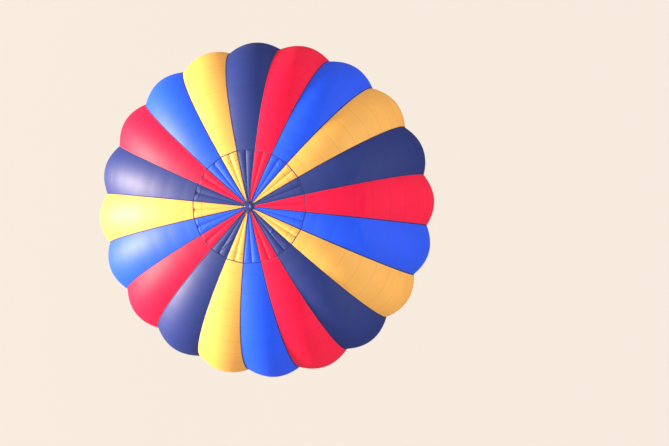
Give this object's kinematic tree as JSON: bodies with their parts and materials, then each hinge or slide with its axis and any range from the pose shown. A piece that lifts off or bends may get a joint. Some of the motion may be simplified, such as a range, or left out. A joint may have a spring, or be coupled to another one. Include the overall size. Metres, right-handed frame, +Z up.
{
  "type": "hot air balloon",
  "caption": "Hot air balloon in flight: lobed striped envelope with a parachute vent, skirt, flying wires, twin burner on a gimbal, wicker basket and gas cylinders.",
  "frame": {"origin": "centre of the envelope's widest level, where the air holds the balloon up in flight", "axes": "+Z up, from the basket to the crown; +X along the basket's long side and through the middle of the first red gore; +Y across the basket"},
  "size_m": [17.9458, 17.9458, 22.8657],
  "materials": {
    "cloth_red": "coated ripstop nylon, soft sheen",
    "cloth_navy": "coated ripstop nylon, soft sheen",
    "cloth_yellow": "coated ripstop nylon, soft sheen",
    "cloth_blue": "coated ripstop nylon, soft sheen",
    "tape": "woven webbing",
    "crown_metal": "machined",
    "vent_cloth": "coated ripstop nylon in the gores' colours",
    "skirt_cloth": "fire-resistant woven cloth, matt",
    "wire": "stranded stainless wire",
    "frame_metal": "satin stainless tube",
    "burner_metal": "heat-tinted stainless steel",
    "padding": "laced leather sleeve",
    "cylinder_metal": "brushed stainless steel",
    "wicker": "varnished woven willow and cane",
    "leather": "stitched hide",
    "wood": "varnished marine plywood and ash"
  },
  "bodies": {
    "airframe": {"gore_01": "cloth_red", "gore_02": "cloth_navy", "gore_03": "cloth_yellow", "gore_04": "cloth_blue", "gore_05": "cloth_red", "gore_06": "cloth_navy", "gore_07": "cloth_yellow", "gore_08": "cloth_blue", "gore_09": "cloth_red", "gore_10": "cloth_navy", "gore_11": "cloth_yellow", "gore_12": "cloth_blue", "gore_13": "cloth_red", "gore_14": "cloth_navy", "gore_15": "cloth_yellow", "gore_16": "cloth_blue", "gore_17": "cloth_red", "gore_18": "cloth_navy", "gore_19": "cloth_yellow", "gore_20": "cloth_blue", "load_tapes": "tape", "crown_ring": "crown_metal", "skirt": "skirt_cloth", "flying_wires_1": "wire", "flying_wires_2": "wire", "flying_wires_3": "wire", "flying_wires_4": "wire", "burner_frame": "frame_metal", "upright_1": "padding", "upright_2": "padding", "upright_3": "padding", "upright_4": "padding", "gas_cylinder_1": "cylinder_metal", "gas_cylinder_2": "cylinder_metal", "gas_cylinder_3": "cylinder_metal", "gas_cylinder_4": "cylinder_metal", "cylinder_valve_1": "cylinder_metal", "cylinder_guard_1": "cylinder_metal", "cylinder_valve_2": "cylinder_metal", "cylinder_guard_2": "cylinder_metal", "cylinder_valve_3": "cylinder_metal", "cylinder_guard_3": "cylinder_metal", "cylinder_valve_4": "cylinder_metal", "cylinder_guard_4": "cylinder_metal", "basket_wicker": "wicker", "basket_rim": "leather", "basket_band": "leather", "basket_floor": "wood", "basket_skid_left": "wood", "basket_skid_right": "wood"},
    "vent": {"parachute_vent": "vent_cloth"},
    "gimbal": {"gimbal_ring": "frame_metal"},
    "burner": {"burner_block": "burner_metal", "burner_coil_left": "burner_metal", "burner_coil_right": "burner_metal"}
  },
  "joints": [
    {"name": "vent_opens", "type": "slide", "parent": "airframe", "child": "vent", "axis": [0, 0, 1], "range_m": [-1.2, 0], "stiffness_N_per_m": 400, "springref_m": 0.5},
    {"name": "gimbal_tilts", "type": "hinge", "parent": "airframe", "child": "gimbal", "pos_m": [0, 0, -14.70614], "axis": [0, 1, 0], "range_deg": [-15, 15]},
    {"name": "burner_tilts", "type": "hinge", "parent": "gimbal", "child": "burner", "pos_m": [0, 0, -14.70614], "axis": [1, 0, 0], "range_deg": [-15, 15]}
  ]
}
